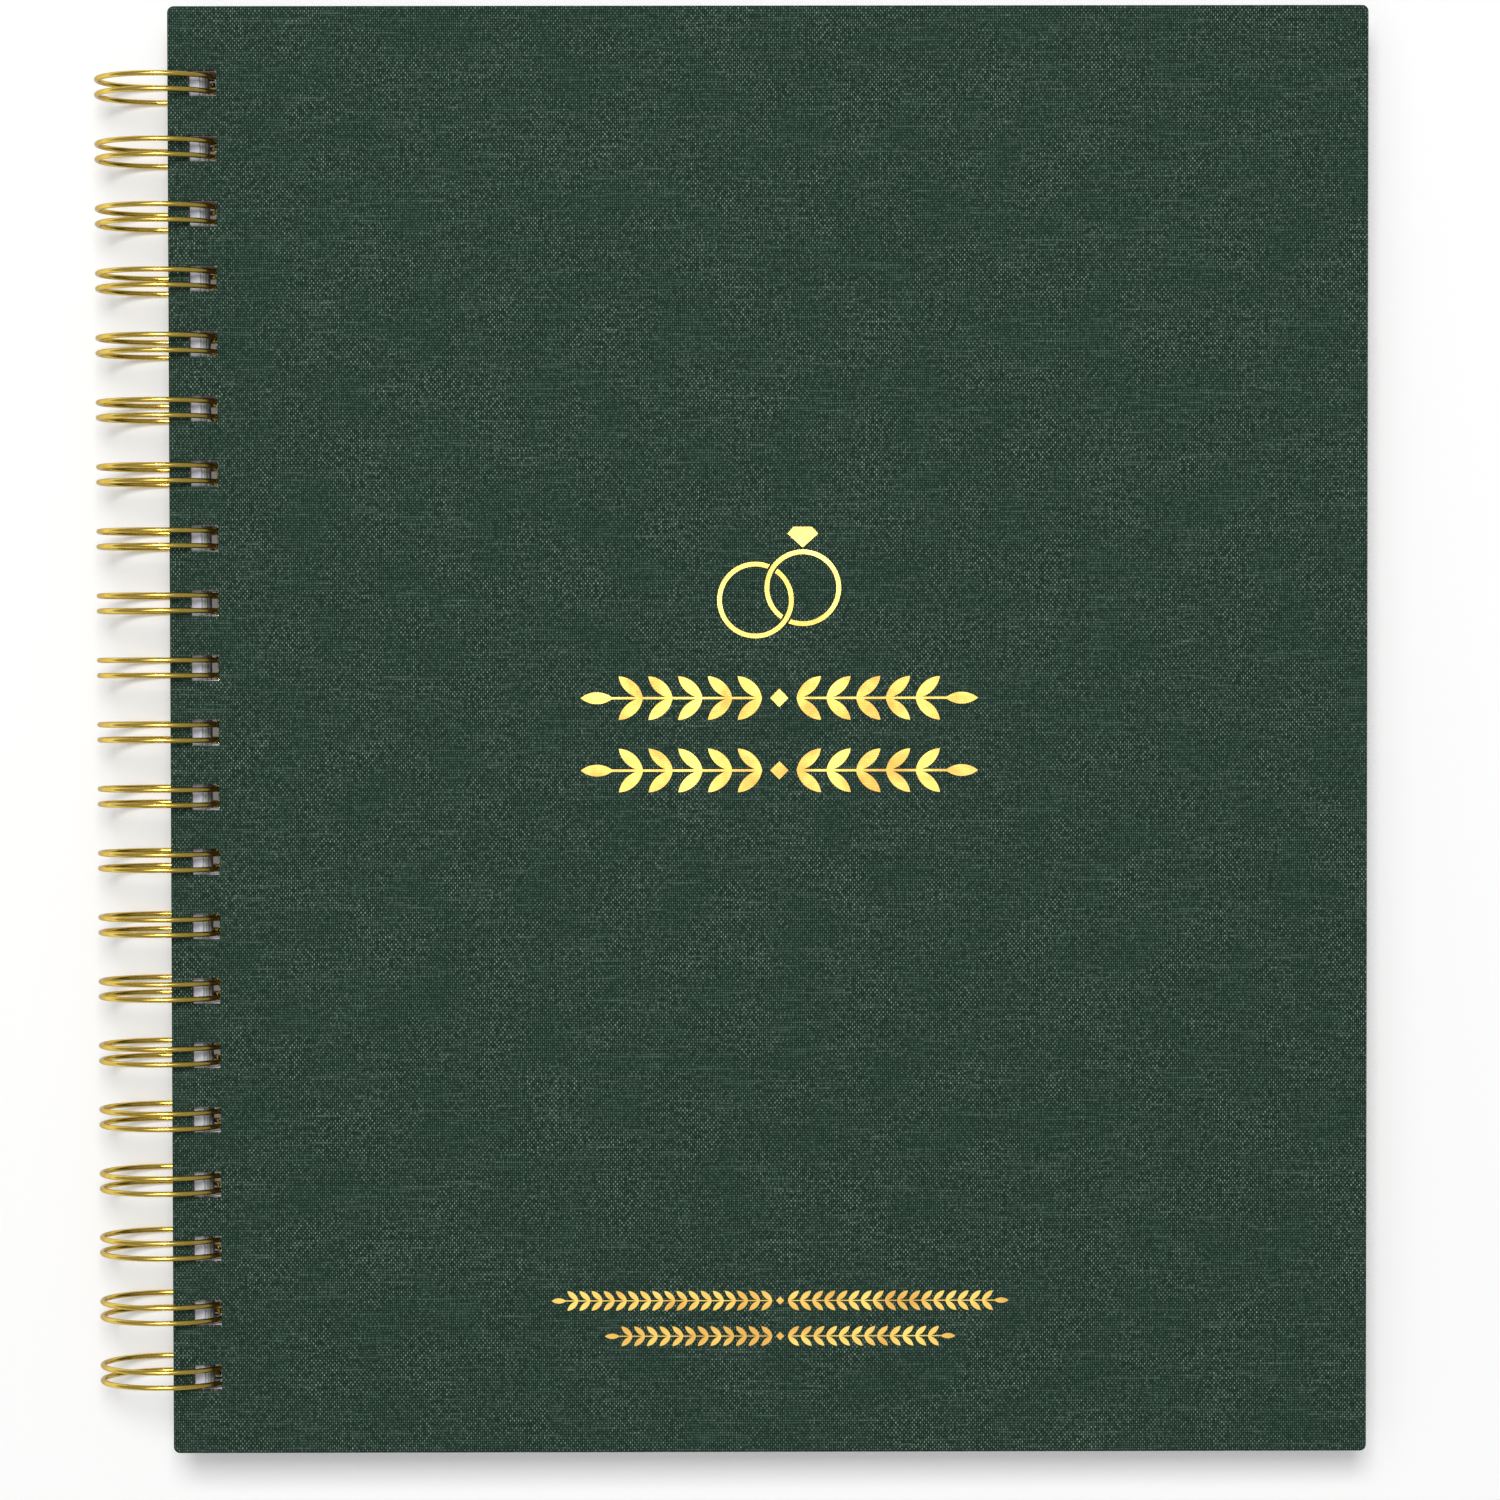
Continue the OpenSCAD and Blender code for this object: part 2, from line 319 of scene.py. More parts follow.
class Shader:
    """A material's node tree while it is being built."""

    def __init__(self, name: str) -> None:
        """Starts a material with a Principled shader.

        Args:
            name: the material's name.
        """
        self.material = bpy.data.materials.new(name)
        self.material.use_nodes = True
        self.tree = self.material.node_tree
        self.tree.nodes.clear()
        self.surface = self.add("ShaderNodeBsdfPrincipled")
        output = self.add("ShaderNodeOutputMaterial")
        self.tree.links.new(self.surface.outputs["BSDF"], output.inputs["Surface"])

    def add(self, kind: str, **settings: object) -> bpy.types.Node:
        """Adds a node.

        Args:
            kind: the node's type.
            **settings: its properties.

        Returns:
            The node.
        """
        node = self.tree.nodes.new(kind)
        for key, value in settings.items():
            setattr(node, key, value)
        return node

    def feed(self, socket: Socket, value: object) -> None:
        """Links or sets an input.

        Args:
            socket: the input.
            value: an output socket, or a constant.
        """
        if isinstance(value, bpy.types.NodeSocket):
            self.tree.links.new(value, socket)
        else:
            socket.default_value = value

    def math(self, operation: str, *values: object) -> Socket:
        """A Math node.

        Args:
            operation: what it does.
            *values: its inputs.

        Returns:
            Its result.
        """
        node = self.add("ShaderNodeMath", operation=operation)
        for socket, value in zip(node.inputs, values):
            self.feed(socket, value)
        return node.outputs[0]

    def vector(self, x: object, y: object, z: object = 0.0) -> Socket:
        """A vector made of three numbers.

        Args:
            x: the first.
            y: the second.
            z: the third.

        Returns:
            The vector.
        """
        node = self.add("ShaderNodeCombineXYZ")
        for socket, value in zip(node.inputs, (x, y, z)):
            self.feed(socket, value)
        return node.outputs[0]

    def place(self, uv_name: str = "") -> Socket:
        """The point that a pattern is read at.

        Args:
            uv_name: the piece's own UV map, or nothing for Object coordinates.

        Returns:
            The point, in metres.
        """
        if uv_name:
            return self.add("ShaderNodeUVMap", uv_map=uv_name).outputs["UV"]
        return self.add("ShaderNodeTexCoord").outputs["Object"]

    def parts(self, vector: Socket) -> tuple[Socket, Socket, Socket]:
        """The three numbers of a vector.

        Args:
            vector: the vector.

        Returns:
            X, Y and Z.
        """
        node = self.add("ShaderNodeSeparateXYZ")
        self.feed(node.inputs[0], vector)
        return node.outputs[0], node.outputs[1], node.outputs[2]

    def noise(self, vector: Socket, size: float, detail: float = 2.0, rough: float = 0.5) -> Socket:
        """Smooth noise from 0 to 1.

        Args:
            vector: where it is read.
            size: the size of its patches, in the vector's units.
            detail: how many finer layers it has.
            rough: how strong those are.

        Returns:
            The noise.
        """
        node = self.add("ShaderNodeTexNoise")
        self.feed(node.inputs["Vector"], vector)
        node.inputs["Scale"].default_value = 1 / size
        node.inputs["Detail"].default_value = detail
        node.inputs["Roughness"].default_value = rough
        return node.outputs["Fac"]

    def spread(self, value: Socket, source: Span, target: Span = (0.0, 1.0)) -> Socket:
        """Maps one range to another, and holds to it.

        Args:
            value: the number.
            source: the range that it comes in.
            target: the range that it is given.

        Returns:
            The mapped number.
        """
        node = self.add("ShaderNodeMapRange")
        for socket, number in zip(node.inputs, (value, *source, *target)):
            self.feed(socket, number)
        return node.outputs[0]

    def mix(self, share: object, first: object, second: object) -> Socket:
        """Mixes two colours.

        Args:
            share: how much of the second.
            first: a colour.
            second: a colour.

        Returns:
            The mixed colour.
        """
        node = self.add("ShaderNodeMix", data_type="RGBA")
        self.feed(node.inputs[0], share)
        for socket, colour in ((node.inputs[6], first), (node.inputs[7], second)):
            self.feed(socket, (*colour, 1.0) if isinstance(colour, tuple) else colour)
        return node.outputs[2]

    def bump(self, height: Socket, depth: float, strength: float = 1.0) -> None:
        """Raises the surface by a height map.

        Args:
            height: the map, from 0 to 1.
            depth: what 1 stands for, in metres.
            strength: how strongly it shows.
        """
        node = self.add("ShaderNodeBump")
        node.inputs["Strength"].default_value = strength
        node.inputs["Distance"].default_value = depth
        self.feed(node.inputs["Height"], height)
        self.feed(self.surface.inputs["Normal"], node.outputs["Normal"])

    def dress(self, **values: object) -> bpy.types.Material:
        """Sets the Principled shader's inputs.

        Args:
            **values: the inputs, with spaces in their names as underscores.

        Returns:
            The material.
        """
        for key, value in values.items():
            socket = self.surface.inputs[key.replace("_", " ")]
            self.feed(socket, (*value, 1.0) if isinstance(value, tuple) and len(value) == 3 else value)
        return self.material


@dataclass(frozen=True)
class Weave:
    """A plain weave of slightly uneven threads, closer across than along the book."""

    warp_pitch: float = 0.402 * MM
    weft_pitch: float = 0.482 * MM
    wander: float = 0.16 * MM
    slub_length: float = 9 * MM
    drift_size: float = 14 * MM
    crimp: float = 0.46
    half_width: Span = (0.4, 0.56)

    def threads(self, shader: Shader, point: Socket) -> tuple[Socket, Socket, Socket]:
        """Draws the weave.

        Args:
            shader: the material that it is drawn in.
            point: where it is read, in metres.

        Returns:
            The height of the surface from 0 to 1, how thick the thread on top is, and 1 where
            that thread is a warp thread.
        """
        s = shader
        u, v, _ = s.parts(point)
        drift = s.math("SUBTRACT", s.noise(point, self.drift_size, 2.0), 0.5)
        drift_2 = s.math("SUBTRACT", s.noise(s.vector(v, u, 0.3), self.drift_size, 2.0), 0.5)
        a = s.math("DIVIDE", s.math("MULTIPLY_ADD", drift, 2 * self.wander, u), self.warp_pitch)
        b = s.math("DIVIDE", s.math("MULTIPLY_ADD", drift_2, 2 * self.wander, v), self.weft_pitch)
        i, j = s.math("FLOOR", a), s.math("FLOOR", b)
        warp = self._thread(s, a, b, i, v, 3.1, 1.0)
        weft = self._thread(s, b, a, j, u, 17.7, -1.0)
        height = s.math("MAXIMUM", warp[0], weft[0])
        on_top = s.math("GREATER_THAN", warp[0], weft[0])
        pale = s.math("MULTIPLY_ADD", on_top, s.math("SUBTRACT", warp[1], weft[1]), weft[1])
        return height, pale, on_top

    def _thread(
        self, s: Shader, across: Socket, along: Socket, index: Socket, run: Socket, seed: float, side: float
    ) -> tuple[Socket, Socket]:
        """One set of parallel threads.

        Args:
            s: the material.
            across: the point's place square to the threads, in threads.
            along: its place along them, in threads.
            index: the thread's number.
            run: its place along the thread, in metres.
            seed: what sets this set's slubs apart.
            side: 1 where its even crossings lie on top, and -1 where its odd ones do.

        Returns:
            The threads' height, and their slubs.
        """
        lane = s.math("MULTIPLY_ADD", index, 1.618, seed)
        slub = s.noise(s.vector(lane, s.math("DIVIDE", run, self.slub_length), seed), 1.0, 4.0, 0.7)
        middle = s.math("SUBTRACT", s.math("SUBTRACT", across, index), 0.5)
        width = s.spread(slub, (0.3, 0.72), self.half_width)
        ratio = s.math("DIVIDE", middle, width)
        round_top = s.math("MAXIMUM", s.math("SUBTRACT", 1.0, s.math("MULTIPLY", ratio, ratio)), 0.0)
        wave = s.math("SINE", s.math("MULTIPLY", s.math("ADD", along, index), math.pi))
        lift = s.math("MULTIPLY_ADD", wave, self.crimp * side, 1 - self.crimp)
        return s.math("MULTIPLY", round_top, lift), slub


@dataclass(frozen=True)
class BookCloth:
    """Dark green book cloth in a plain weave, with painted shade in the gaps between threads, a painted
    sheen on the thread crowns and paler slubbed threads.
    """

    # painted shade: the dark colour laid in the gaps between the threads
    gap_shade: Colour = (0.001, 0.01, 0.004)
    thread: Colour = (0.004, 0.03, 0.016)
    calm: Colour = (0.015, 0.052, 0.033)
    # the pale colour of the painted sheen on the thread crowns, and of the slubbed threads
    sheen_and_slub: Colour = (0.3, 0.44, 0.36)
    weave: Weave = Weave()

    def build(self) -> bpy.types.Material:
        """Makes the material, which reads the UV map named Weave."""
        s = Shader("book_cloth")
        point = s.place("Weave")
        height, pale, warp_top = self.weave.threads(s, point)
        # random specks in which the painted sheen shows
        fleck = s.spread(s.noise(point, 0.9 * MM, 2.0, 0.7), (0.4, 0.66), (0.08, 1.0))
        zone = s.spread(s.noise(point, 12 * MM, 3.0, 0.6), (0.36, 0.64), (0.4, 1.0))
        yarn = s.mix(s.spread(zone, (0.4, 1.0)), self.calm, self.thread)
        # painted shade: where the weave is low, between the threads, the colour darkens towards the gap
        # colour
        body = s.mix(s.spread(height, (0.3, 0.85)), self.gap_shade, yarn)
        # painted sheen: strong on the warp crowns, weak on the weft crowns, in random specks and patches
        warp_sheen = s.math("MULTIPLY_ADD", warp_top, 0.9, 0.1)
        painted_sheen = s.math("MULTIPLY", s.math("MULTIPLY", fleck, zone), s.spread(height, (0.45, 0.9)))
        streak = s.math("MULTIPLY", s.spread(pale, (0.5, 0.8), (0.0, 0.35)), s.spread(height, (0.3, 0.8)))
        # the pale colour goes where the painted sheen falls and on the raised parts of slubbed threads
        sheen_and_slub_mask = s.math("MAXIMUM", s.math("MULTIPLY", painted_sheen, warp_sheen), streak)
        s.bump(height, 0.08 * MM, 0.7)
        return s.dress(Base_Color=s.mix(sheen_and_slub_mask, body, self.sheen_and_slub), Roughness=0.82, Specular_IOR_Level=0.25)


@dataclass(frozen=True)
class Foil:
    """Gold foil stamped into the cloth, so that the weave still shows a little."""

    bright: Colour = (0.84, 0.59, 0.15)
    deep: Colour = (0.62, 0.35, 0.08)
    weave: Weave = Weave()

    def build(self) -> bpy.types.Material:
        """Makes the material."""
        s = Shader("gold_foil")
        point = s.place()
        height, _, _ = self.weave.threads(s, point)
        glow = s.spread(s.noise(point, 11 * MM, 2.0), (0.38, 0.62))
        s.bump(height, 0.015 * MM, 0.2)
        rough = s.spread(s.noise(point, 1.5 * MM, 2.0), (0.3, 0.7), (0.17, 0.25))
        return s.dress(Base_Color=s.mix(glow, self.deep, self.bright), Metallic=1.0, Roughness=rough)


@dataclass(frozen=True)
class GoldWire:
    """Gold-coloured wire with a thin clear coat."""

    bright: Colour = (0.93, 0.68, 0.13)
    dull: Colour = (0.76, 0.52, 0.08)
    rim: Colour = (0.4, 0.32, 0.1)

    def build(self) -> bpy.types.Material:
        """Makes the material."""
        s = Shader("gold_wire")
        point = s.place()
        worn = s.spread(s.noise(point, 2.5 * MM, 3.0, 0.6), (0.35, 0.7))
        grain = s.noise(point, 0.25 * MM, 2.0)
        s.bump(grain, 0.006 * MM, 0.12)
        return s.dress(
            Base_Color=s.mix(worn, self.bright, self.dull),
            Metallic=1.0,
            Roughness=s.spread(worn, (0.0, 1.0), (0.2, 0.3)),
            Specular_Tint=self.rim,
            Coat_Weight=0.5,
            Coat_Roughness=0.14,
        )


@dataclass(frozen=True)
class Greyboard:
    """Pulp board with fibres and flecks."""

    pale: Colour = (0.2, 0.15, 0.12)
    dark: Colour = (0.07, 0.05, 0.04)

    def build(self) -> bpy.types.Material:
        """Makes the material."""
        s = Shader("greyboard")
        point = s.place()
        x, y, z = s.parts(point)
        ply = s.vector(x, y, s.math("MULTIPLY", z, 6.0))
        fibre = s.noise(ply, 0.9 * MM, 5.0, 0.7)
        fleck = s.spread(s.noise(point, 0.35 * MM, 2.0), (0.62, 0.72))
        base = s.mix(s.spread(fibre, (0.3, 0.7)), self.dark, self.pale)
        s.bump(fibre, 0.12 * MM, 0.8)
        return s.dress(Base_Color=s.mix(fleck, base, (0.03, 0.025, 0.02)), Roughness=0.95)


@dataclass(frozen=True)
class Paper:
    """Plain paper or card."""

    name: str
    colour: Colour
    shade: Colour
    rough: float = 0.8
    tooth: float = 0.02 * MM

    def build(self) -> bpy.types.Material:
        """Makes the material."""
        s = Shader(self.name)
        point = s.place()
        cloud = s.spread(s.noise(point, 7 * MM, 4.0, 0.6), (0.3, 0.7))
        s.bump(s.noise(point, 0.3 * MM, 3.0, 0.6), self.tooth, 0.6)
        return s.dress(Base_Color=s.mix(cloud, self.colour, self.shade), Roughness=self.rough)


@dataclass(frozen=True)
class RuledPaper:
    """Writing paper with pale ruled lines and a margin."""

    colour: Colour = (0.8, 0.81, 0.9)
    shade: Colour = (0.76, 0.77, 0.86)
    line: Colour = (0.5, 0.52, 0.5)
    spacing: float = 8 * MM
    line_w: float = 0.25 * MM
    left: float = -78 * MM
    right: float = 98 * MM
    top: float = 112 * MM
    bottom: float = -124 * MM

    def build(self) -> bpy.types.Material:
        """Makes the material."""
        s = Shader("ruled_paper")
        point = s.place()
        x, y, _ = s.parts(point)
        beat = s.math("FRACT", s.math("DIVIDE", y, self.spacing))
        near = s.math("ABSOLUTE", s.math("SUBTRACT", beat, 0.5))
        on_line = s.spread(near, (self.line_w / self.spacing / 2, self.line_w / self.spacing), (1.0, 0.0))
        inside = self._between(s, x, self.left, self.right)
        rows = self._between(s, y, self.bottom, self.top)
        ink = s.math("MULTIPLY", on_line, s.math("MULTIPLY", inside, rows))
        cloud = s.spread(s.noise(point, 7 * MM, 4.0, 0.6), (0.3, 0.7))
        base = s.mix(cloud, self.colour, self.shade)
        s.bump(s.noise(point, 0.3 * MM, 3.0, 0.6), 0.015 * MM, 0.5)
        return s.dress(Base_Color=s.mix(ink, base, self.line), Roughness=0.78)

    @staticmethod
    def _between(s: Shader, value: Socket, low: float, high: float) -> Socket:
        """Whether a number lies between two limits.

        Args:
            s: the material.
            value: the number.
            low: the lower limit.
            high: the upper limit.

        Returns:
            1 where it does, and 0 elsewhere.
        """
        return s.math("MULTIPLY", s.math("GREATER_THAN", value, low), s.math("LESS_THAN", value, high))


@dataclass(frozen=True)
class TabFilm:
    """Clear film laminated round a tab."""

    tint: Colour = (0.93, 0.95, 0.94)

    def build(self) -> bpy.types.Material:
        """Makes the material."""
        s = Shader("tab_film")
        ripple = s.noise(s.place(), 6 * MM, 2.0)
        s.bump(ripple, 0.05 * MM, 0.3)
        return s.dress(
            Base_Color=self.tint, Roughness=0.12, Alpha=0.28, Coat_Weight=0.6, Coat_Roughness=0.06
        )


class Stock(Enum):
    """The plain papers, cards and yarn, and a sheet edge darkened with painted shade for inside the slots:
    colour, shade and roughness.
    """

    ENDPAPER = ((0.83, 0.81, 0.75), (0.79, 0.77, 0.7), 0.8)
    SHEET_EDGE = ((0.84, 0.83, 0.82), (0.74, 0.73, 0.71), 0.8)
    # the sheet edge darkened with painted shade, for the edges inside the slots
    SLOT_WALL = ((0.24, 0.21, 0.2), (0.13, 0.11, 0.1), 0.8)
    THREAD_ENDS = ((0.72, 0.68, 0.63), (0.4, 0.4, 0.36), 0.8)
    POCKET_CARD = ((0.79, 0.76, 0.68), (0.74, 0.71, 0.63), 0.75)

    def build(self) -> bpy.types.Material:
        """Makes the material, named after the stock."""
        return Paper(self.name.lower(), *self.value).build()


class Tint(Enum):
    """The colours of the divider cards, from the front."""

    SAGE = (0.4, 0.47, 0.37)
    BLUSH = (0.74, 0.55, 0.5)
    IVORY = (0.8, 0.77, 0.67)
    FERN = (0.22, 0.31, 0.24)
    CLAY = (0.62, 0.42, 0.33)
    MIST = (0.5, 0.56, 0.58)

    def build(self) -> bpy.types.Material:
        """Makes the card in this colour, with slightly darker clouds."""
        return Paper(f"card_{self.name.lower()}", self.value, tuple(c * 0.92 for c in self.value)).build()


# ---------------------------------------------------------------- mesh tools


def loose(mesh: bmesh.types.BMesh) -> list[bmesh.types.BMEdge]:
    """The open edges of a mesh.

    Args:
        mesh: the mesh.

    Returns:
        The edges with one face.
    """
    return [e for e in mesh.edges if e.is_boundary]


def everything(mesh: bmesh.types.BMesh) -> list:
    """All the vertices, edges and faces of a mesh, as an operator takes them."""
    return [*mesh.verts, *mesh.edges, *mesh.faces]


def cut_lines(mesh: bmesh.types.BMesh, xs: list[float], ys: list[float]) -> None:
    """Cuts a flat mesh along lines.

    Args:
        mesh: the mesh.
        xs: lines along the spine.
        ys: lines square to it.
    """
    for value, normal in [(x, Vector((1, 0, 0))) for x in xs] + [(y, Vector((0, 1, 0))) for y in ys]:
        point = normal * value
        bmesh.ops.bisect_plane(mesh, geom=everything(mesh), dist=1e-8, plane_co=point, plane_no=normal)


def plate(area: Box, holes: list[Box], height: float = 0.0) -> bmesh.types.BMesh:
    """A flat rectangle with rectangular holes.

    Args:
        area: the rectangle.
        holes: what is cut out of it.
        height: where it lies.

    Returns:
        A mesh of faces that look up.
    """
    mesh = bmesh.new()
    bmesh.ops.create_grid(mesh, x_segments=1, y_segments=1, size=0.5)
    bmesh.ops.scale(mesh, vec=(area.right - area.left, area.high - area.low, 1), verts=mesh.verts)
    centre = ((area.left + area.right) / 2, (area.low + area.high) / 2, height)
    bmesh.ops.translate(mesh, vec=centre, verts=mesh.verts)
    xs = sorted({x for h in holes for x in (h.left, h.right)})
    ys = sorted({y for h in holes for y in (h.low, h.high)})
    cut_lines(mesh, xs, ys)
    inside = [f for f in mesh.faces if any(h.holds(f.calc_center_median()) for h in holes)]
    bmesh.ops.delete(mesh, geom=inside, context="FACES")
    return mesh


def thicken(mesh: bmesh.types.BMesh, thickness: float) -> None:
    """Gives a flat mesh that looks up a thickness, upwards.

    Args:
        mesh: the mesh.
        thickness: how thick.
    """
    grown = bmesh.ops.extrude_face_region(mesh, geom=mesh.faces[:], use_keep_orig=True)
    raised = [g for g in grown["geom"] if isinstance(g, bmesh.types.BMVert)]
    bmesh.ops.translate(mesh, vec=(0, 0, thickness), verts=raised)
    bmesh.ops.recalc_face_normals(mesh, faces=mesh.faces)


def piece(
    name: str, mesh: bmesh.types.BMesh, laid: Matrix, finishes: list, smooth: bool = False
) -> bpy.types.Object:
    """Turns a finished mesh into an object in its place.

    Args:
        name: the object's name.
        mesh: the mesh, drawn about the rings' axis. It is freed.
        laid: the matrix that lays it on the table.
        finishes: its materials.
        smooth: whether its faces are shaded smooth.

    Returns:
        The object.
    """
    bmesh.ops.transform(mesh, matrix=laid, verts=mesh.verts)
    for face in mesh.faces:
        face.smooth = smooth
    data = bpy.data.meshes.new(name)
    mesh.to_mesh(data)
    mesh.free()
    made = bpy.data.objects.new(name, data)
    bpy.context.scene.collection.objects.link(made)
    for finish in finishes:
        data.materials.append(finish)
    return made


def redress(node: str, finish: bpy.types.Material) -> None:
    """Gives a carried-over node a better material.

    Args:
        node: its name.
        finish: the material.
    """
    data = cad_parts[node].data
    data.materials.clear()
    data.materials.append(finish)
    log.info("%s: dressed in %s", node, finish.name)


# ---------------------------------------------------------------- covers


class Wall(Enum):
    """The walls of a slot: the way into the slot, and how many thread ends stand out of the wall."""

    FAR = ((-1, 0, 0), 8)
    TAIL = ((0, 1, 0), 6)
    HEAD = ((0, -1, 0), 3)
    NEAR = ((1, 0, 0), 1)

    @property
    def inward(self) -> Vector:
        """The direction from the wall into the slot."""
        return Vector(self.value[0])

    @property
    def fibres(self) -> int:
        """How many thread ends stand out of it."""
        return self.value[1]


@dataclass
class Cover:
    """A board wrapped in book cloth, lined with an endpaper."""

    side: str
    edge: float
    outer: float
    upward: bool
    layout: Layout
    cloth: bpy.types.Material
    board: bpy.types.Material
    paper: bpy.types.Material
    ends: bpy.types.Material
    fold_r: float = 0.55 * MM
    fold_angle: float = math.radians(69)
    segments: int = 4
    fibre_r: float = 0.07 * MM
    fibre_length: Span = (0.25 * MM, 0.45 * MM)
    clear_of_wire: tuple[Span, Span] = ((0.1, 0.75), (2.15, 2.45))

    @property
    def area(self) -> Box:
        """The cover's outline."""
        half = self.layout.cover_h / 2
        return Box(self.edge, self.edge + self.layout.cover_w, -half, half)

    def build(self) -> None:
        """Makes the cloth and dresses the board and the endpaper."""
        self._wrap()
        self._fray()
        redress(f"{self.side}_board", self.board)
        redress(f"{self.side}_endpaper", self.paper)

    def _wrap(self) -> None:
        """Makes the cloth: an outer skin, its folds round the board and its turn-ins."""
        lay = self.layout
        depth = lay.board_t + 2 * lay.cloth_t
        slots = lay.slots(self.edge)
        window = self.area.shrunk(lay.turn_in)
        mesh = plate(self.area, [*slots, window])
        bmesh.ops.reverse_faces(mesh, faces=mesh.faces)
        outer = plate(self.area, slots, depth)
        data = bpy.data.meshes.new("outer")
        outer.to_mesh(data)
        outer.free()
        mesh.from_mesh(data)
        bpy.data.meshes.remove(data)
        rim = [e for e in loose(mesh) if self._on_rim(e, self.area)]
        low = [e for e in rim if e.verts[0].co.z < depth / 2]
        wall = bmesh.ops.extrude_edge_only(mesh, edges=low)
        raised = [g for g in wall["geom"] if isinstance(g, bmesh.types.BMVert)]
        bmesh.ops.translate(mesh, vec=(0, 0, depth), verts=raised)
        self._join_rim(mesh, window)
        self._fold(mesh, depth)
        bmesh.ops.recalc_face_normals(mesh, faces=mesh.faces)
        top = max(mesh.faces, key=lambda f: f.calc_center_median().z)
        if top.normal.z < 0:
            bmesh.ops.reverse_faces(mesh, faces=mesh.faces)
        bmesh.ops.solidify(mesh, geom=mesh.faces[:], thickness=lay.cloth_t)
        flip = 1 if self.upward else -1
        self._unfold(mesh, depth)
        turn = Matrix.Diagonal((1, 1, flip, 1))
        shift = self.outer - depth if self.upward else self.outer + depth
        bmesh.ops.transform(mesh, matrix=Matrix.Translation((0, 0, shift)) @ turn, verts=mesh.verts)
        if not self.upward:
            bmesh.ops.reverse_faces(mesh, faces=mesh.faces)
        made = piece(f"{self.side}_cover_cloth", mesh, lay.laid(), [self.cloth])
        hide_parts(f"{self.side}_cloth")
        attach(made, f"{self.side}_cover")
        log.info("%s: %d faces", made.name, len(made.data.polygons))

    def _fray(self) -> None:
        """Makes the cut thread ends that stand out of the slots' edges."""
        lay = self.layout
        rng = random.Random(self.side)
        mesh = bmesh.new()
        inward = -1 if self.upward else 1
        for slot in lay.slots(self.edge):
            middle = (slot.low + slot.high) / 2
            for wall in (w for w in Wall for _ in range(w.fibres)):
                height = self.outer + inward * rng.uniform(0.2, 0.9) * lay.cloth_t
                near = rng.choice((-1, 1)) * rng.uniform(*rng.choice(self.clear_of_wire)) * MM
                along = rng.uniform(slot.left + 0.3 * MM, slot.right - 0.3 * MM)
                root = {
                    Wall.FAR: Vector((slot.right, middle + near, height)),
                    Wall.TAIL: Vector((along, slot.low, height)),
                    Wall.HEAD: Vector((along, slot.high, height)),
                    Wall.NEAR: Vector((slot.left, middle + near, height)),
                }[wall]
                lean = (rng.uniform(-0.5, 0.5), rng.uniform(-0.5, 0.5), inward * rng.uniform(0, 0.4))
                way = wall.inward + Vector(lean)
                length = rng.uniform(*self.fibre_length)
                turn = way.to_track_quat("Z", "Y").to_matrix().to_4x4()
                place = Matrix.Translation(root + way.normalized() * length * 0.4) @ turn
                bmesh.ops.create_cone(
                    mesh, cap_ends=True, segments=3, radius1=self.fibre_r, radius2=self.fibre_r * 0.4,
                    depth=length, matrix=place,
                )
        made = piece(f"{self.side}_thread_ends", mesh, lay.laid(), [self.ends])
        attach(made, f"{self.side}_cover")
        log.info("%s: %d faces", made.name, len(made.data.polygons))

    @staticmethod
    def _on_rim(edge: bmesh.types.BMEdge, area: Box) -> bool:
        """Whether an edge lies on the cover's outline.

        Args:
            edge: the edge.
            area: the outline.

        Returns:
            True where it does.
        """
        middle = (edge.verts[0].co + edge.verts[1].co) / 2
        gaps = (middle.x - area.left, area.right - middle.x, middle.y - area.low, area.high - middle.y)
        return min(abs(g) for g in gaps) < 1e-6

    @staticmethod
    def _join_rim(mesh: bmesh.types.BMesh, window: Box) -> None:
        """Joins the side walls to the outer skin, whose cuts may differ from theirs.

        Args:
            mesh: the cloth.
            window: the opening between the turn-ins.
        """
        cut_lines(mesh, [window.left, window.right], [window.low, window.high])
        bmesh.ops.remove_doubles(mesh, verts=mesh.verts, dist=1e-7)

    def _fold(self, mesh: bmesh.types.BMesh, depth: float) -> None:
        """Rounds the cloth's corners and its folds round the board.

        Args:
            mesh: the cloth.
            depth: height of the outer skin.
        """
        area = self.area
        corners = [
            e
            for e in mesh.edges
            if abs(e.verts[0].co.z - e.verts[1].co.z) > depth / 2
            and min(abs(e.verts[0].co.x - area.left), abs(e.verts[0].co.x - area.right)) < 1e-6
            and min(abs(e.verts[0].co.y - area.low), abs(e.verts[0].co.y - area.high)) < 1e-6
        ]
        bmesh.ops.bevel(
            mesh, geom=corners, offset=self.layout.corner_r, offset_type="OFFSET",
            segments=self.segments, profile=0.5, affect="EDGES", material=-1, clamp_overlap=True,
        )
        folds = [
            e
            for e in mesh.edges
            if len(e.link_faces) == 2
            and e.calc_face_angle(0.0) > self.fold_angle
            and abs(e.verts[0].co.z - e.verts[1].co.z) < 1e-7
        ]
        bmesh.ops.bevel(
            mesh, geom=folds, offset=self.fold_r, offset_type="OFFSET",
            segments=self.segments, profile=0.5, affect="EDGES", material=-1, clamp_overlap=True,
        )

    @staticmethod
    def _unfold(mesh: bmesh.types.BMesh, depth: float) -> None:
        """Writes the UV map that carries the weave round the folds, in metres.

        Args:
            mesh: the cloth.
            depth: height of the outer skin.
        """
        layer = mesh.loops.layers.uv.new("Weave")
        for face in mesh.faces:
            normal = face.normal
            for loop in face.loops:
                x, y, z = loop.vert.co
                drop = depth - z
                if abs(normal.z) < 0.5 and abs(normal.x) > abs(normal.y):
                    x += math.copysign(drop, normal.x)
                elif abs(normal.z) < 0.5:
                    y += math.copysign(drop, normal.y)
                loop[layer].uv = (x, y)


# ---------------------------------------------------------------- leaves


